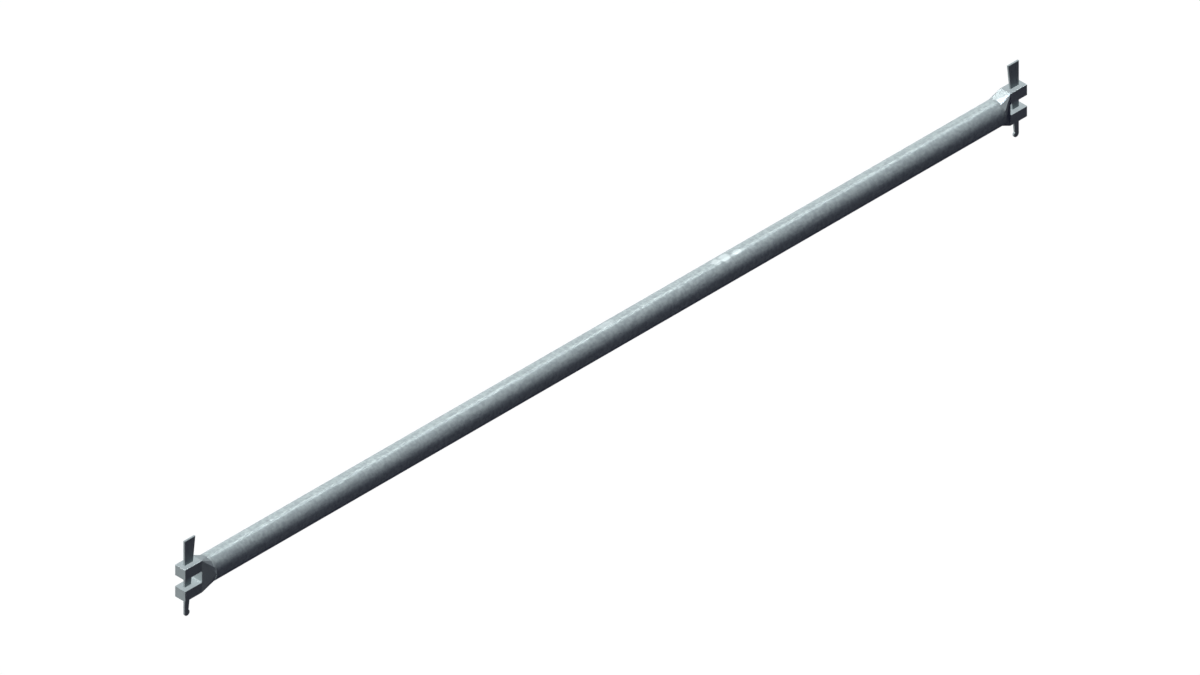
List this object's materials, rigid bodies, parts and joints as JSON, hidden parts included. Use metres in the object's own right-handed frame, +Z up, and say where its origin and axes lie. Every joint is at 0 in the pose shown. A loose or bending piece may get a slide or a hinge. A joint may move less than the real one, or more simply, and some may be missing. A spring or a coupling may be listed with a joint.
{
  "type": "scaffold ledger",
  "caption": "Straight round-tube scaffold ledger with a forked cast head welded on each end and a captive drop wedge through the jaws of each head, to lock on a disc node.",
  "frame": {"origin": "on the tube's axis at mid-length", "axes": "+X along the tube from the left head to the right head, +Z up as fitted, along the wedges"},
  "size_m": [1.94, 0.0494, 0.1502],
  "materials": {
    "tube_zinc": "hot-dip galvanised, satin",
    "head_zinc": "hot-dip galvanised casting",
    "weld_zinc": "hot-dip galvanised weld bead",
    "wedge_zinc": "galvanised flat bar"
  },
  "bodies": {
    "ledger": {"ledger_tube": "tube_zinc", "left_head": "head_zinc", "left_weld": "weld_zinc", "right_head": "head_zinc", "right_weld": "weld_zinc"},
    "left_wedge": {"left_wedge": "wedge_zinc"},
    "right_wedge": {"right_wedge": "wedge_zinc"}
  },
  "joints": [
    {"name": "left_wedge_slide", "type": "slide", "parent": "ledger", "child": "left_wedge", "axis": [0, 0, 1], "range_m": [0, 0.071]},
    {"name": "right_wedge_slide", "type": "slide", "parent": "ledger", "child": "right_wedge", "axis": [0, 0, 1], "range_m": [0, 0.071]}
  ]
}
